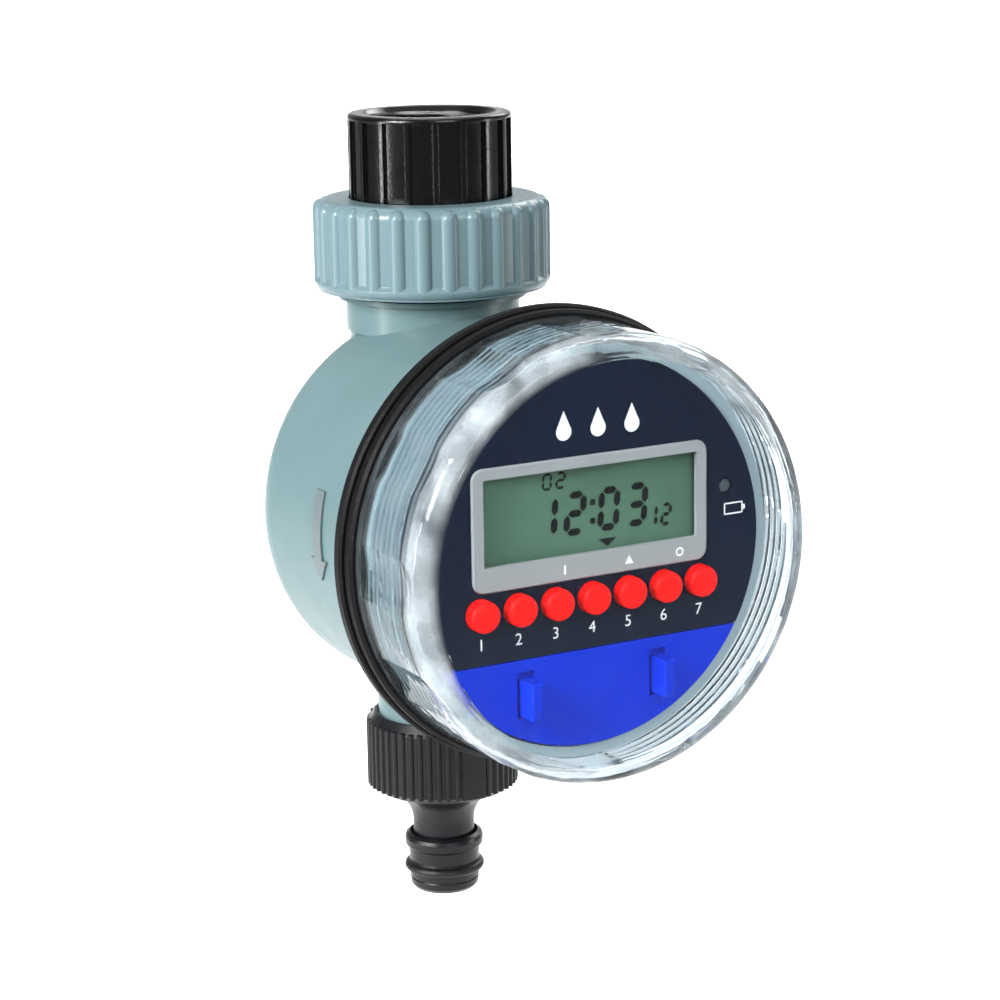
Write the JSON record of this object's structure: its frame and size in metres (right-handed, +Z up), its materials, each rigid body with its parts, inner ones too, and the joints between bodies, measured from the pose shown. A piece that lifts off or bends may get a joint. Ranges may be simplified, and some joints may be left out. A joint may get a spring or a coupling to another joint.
{
  "type": "drip irrigation timer",
  "caption": "Tap-mounted watering timer: ribbed inlet nut, round drum with display and buttons under a clear screw cover, and a quick-fit hose outlet below.",
  "frame": {"origin": "on the water way's axis in the tap adapter's mouth, where the threaded wall starts, 1.2 mm below the rim", "axes": "+Z up the water way towards the tap; -Y out of the control panel; +X to the user's right"},
  "size_m": [0.0954, 0.1021, 0.174],
  "materials": {
    "adapter_black": "fine-grained moulding",
    "nut_grey": "satin",
    "housing_teal": "satin",
    "band_rubber": "matt",
    "clear_plastic": "clear, polished",
    "panel_navy": "fine-grained",
    "bezel_grey": "satin",
    "liquid_crystal": "grey-green reflective display",
    "button_red": "grained",
    "tray_blue": "satin",
    "lamp_plastic": "unlit lamp",
    "connector_charcoal": "satin",
    "ring_rubber": "smooth",
    "inner_grey": "plain moulding",
    "seat_white": "waxy",
    "gear_white": "unpainted moulding",
    "ball_chrome": "plated",
    "stem_brass": "turned",
    "steel": "bright",
    "board_green": "solder mask",
    "cell_sleeve": "printed sleeve"
  },
  "bodies": {
    "housing": {"housing_shell": "housing_teal", "nut_retaining_ring": "inner_grey", "inlet_filter": "inner_grey", "seat_retainer": "seat_white", "ball_seats": "seat_white", "stem_gland": "seat_white", "gearbox_base": "inner_grey", "gearbox_cover": "inner_grey", "gearbox_screws": "steel", "gear_pins": "steel", "motor": "steel", "limit_switches": "inner_grey", "cover_seal_ring": "band_rubber", "module_case": "inner_grey", "circuit_board": "board_green", "board_screws": "steel", "tact_switches": "inner_grey", "display_glass": "liquid_crystal", "display_frame": "inner_grey", "display_window": "clear_plastic", "display_bezel": "bezel_grey", "battery_lamp": "lamp_plastic", "front_panel": "panel_navy", "well_contacts": "steel"},
    "inlet_fitting": {"tap_adapter": "adapter_black", "inlet_nut": "nut_grey", "tap_washer": "ring_rubber", "adapter_washer": "ring_rubber"},
    "valve": {"valve_ball": "ball_chrome", "ball_stem": "stem_brass", "stem_o_rings": "ring_rubber", "output_gear": "gear_white"},
    "second_gear_body": {"second_gear": "gear_white"},
    "first_gear_body": {"first_gear": "gear_white"},
    "motor_rotor": {"motor_shaft": "steel", "motor_pinion": "gear_white"},
    "cover_seal": {"cover_gasket": "band_rubber"},
    "cover": {"clear_cover": "clear_plastic"},
    "tray": {"battery_tray": "tray_blue", "battery_contacts": "steel", "front_cell": "cell_sleeve", "rear_cell": "cell_sleeve"},
    "connector_seal": {"connector_washer": "ring_rubber"},
    "connector": {"hose_connector": "connector_charcoal", "nipple_o_ring": "ring_rubber"},
    "button_1_body": {"button_1": "button_red"},
    "button_2_body": {"button_2": "button_red"},
    "button_3_body": {"button_3": "button_red"},
    "button_4_body": {"button_4": "button_red"},
    "button_5_body": {"button_5": "button_red"},
    "button_6_body": {"button_6": "button_red"},
    "button_7_body": {"button_7": "button_red"}
  },
  "joints": [
    {"name": "inlet_nut_spin", "type": "hinge", "parent": "housing", "child": "inlet_fitting", "pos_m": [0, 0, -0.02], "axis": [0, 0, 1], "continuous": true},
    {"name": "ball_turn", "type": "hinge", "parent": "housing", "child": "valve", "pos_m": [0, 0, -0.0818], "axis": [0, 1, 0], "range_deg": [0, 90]},
    {"name": "second_gear_spin", "type": "hinge", "parent": "housing", "child": "second_gear_body", "pos_m": [0.0182, -0.02, -0.0818], "axis": [0, 1, 0], "range_deg": [-300, 0]},
    {"name": "first_gear_spin", "type": "hinge", "parent": "housing", "child": "first_gear_body", "pos_m": [0.011, -0.02, -0.09427], "axis": [0, 1, 0], "range_deg": [0, 900]},
    {"name": "motor_spin", "type": "hinge", "parent": "housing", "child": "motor_rotor", "pos_m": [0.023, -0.01, -0.09427], "axis": [0, 1, 0], "range_deg": [-2700, 0]},
    {"name": "cover_travel", "type": "slide", "parent": "housing", "child": "cover_seal", "axis": [0, -1, 0], "range_m": [0, 0.0261]},
    {"name": "cover_turn", "type": "hinge", "parent": "cover_seal", "child": "cover", "pos_m": [0, -0.06, -0.0818], "axis": [0, -1, 0], "range_deg": [0, 1170]},
    {"name": "tray_slide", "type": "slide", "parent": "housing", "child": "tray", "axis": [0, -1, 0], "range_m": [0, 0.0181]},
    {"name": "connector_travel", "type": "slide", "parent": "housing", "child": "connector_seal", "axis": [0, 0, -1], "range_m": [0, 0.01098]},
    {"name": "connector_turn", "type": "hinge", "parent": "connector_seal", "child": "connector", "pos_m": [0, 0, -0.1318], "axis": [0, 0, -1], "range_deg": [0, 2160]},
    {"name": "button_1_press", "type": "slide", "parent": "housing", "child": "button_1_body", "axis": [0, 1, 0], "range_m": [0, 0.0009], "stiffness_N_per_m": 500, "springref_m": -0.0003},
    {"name": "button_2_press", "type": "slide", "parent": "housing", "child": "button_2_body", "axis": [0, 1, 0], "range_m": [0, 0.0009], "stiffness_N_per_m": 500, "springref_m": -0.0003},
    {"name": "button_3_press", "type": "slide", "parent": "housing", "child": "button_3_body", "axis": [0, 1, 0], "range_m": [0, 0.0009], "stiffness_N_per_m": 500, "springref_m": -0.0003},
    {"name": "button_4_press", "type": "slide", "parent": "housing", "child": "button_4_body", "axis": [0, 1, 0], "range_m": [0, 0.0009], "stiffness_N_per_m": 500, "springref_m": -0.0003},
    {"name": "button_5_press", "type": "slide", "parent": "housing", "child": "button_5_body", "axis": [0, 1, 0], "range_m": [0, 0.0009], "stiffness_N_per_m": 500, "springref_m": -0.0003},
    {"name": "button_6_press", "type": "slide", "parent": "housing", "child": "button_6_body", "axis": [0, 1, 0], "range_m": [0, 0.0009], "stiffness_N_per_m": 500, "springref_m": -0.0003},
    {"name": "button_7_press", "type": "slide", "parent": "housing", "child": "button_7_body", "axis": [0, 1, 0], "range_m": [0, 0.0009], "stiffness_N_per_m": 500, "springref_m": -0.0003}
  ],
  "couplings": [
    {"joint": "second_gear_spin", "follows": "ball_turn", "ratio": -3.3333},
    {"joint": "first_gear_spin", "follows": "ball_turn", "ratio": 10},
    {"joint": "motor_spin", "follows": "ball_turn", "ratio": -30},
    {"joint": "cover_travel", "follows": "cover_turn", "m_per_rad": 0.0012732},
    {"joint": "tray_slide", "follows": "cover_turn", "m_per_rad": 0.00088147},
    {"joint": "connector_travel", "follows": "connector_turn", "m_per_rad": 0.00028871}
  ]
}
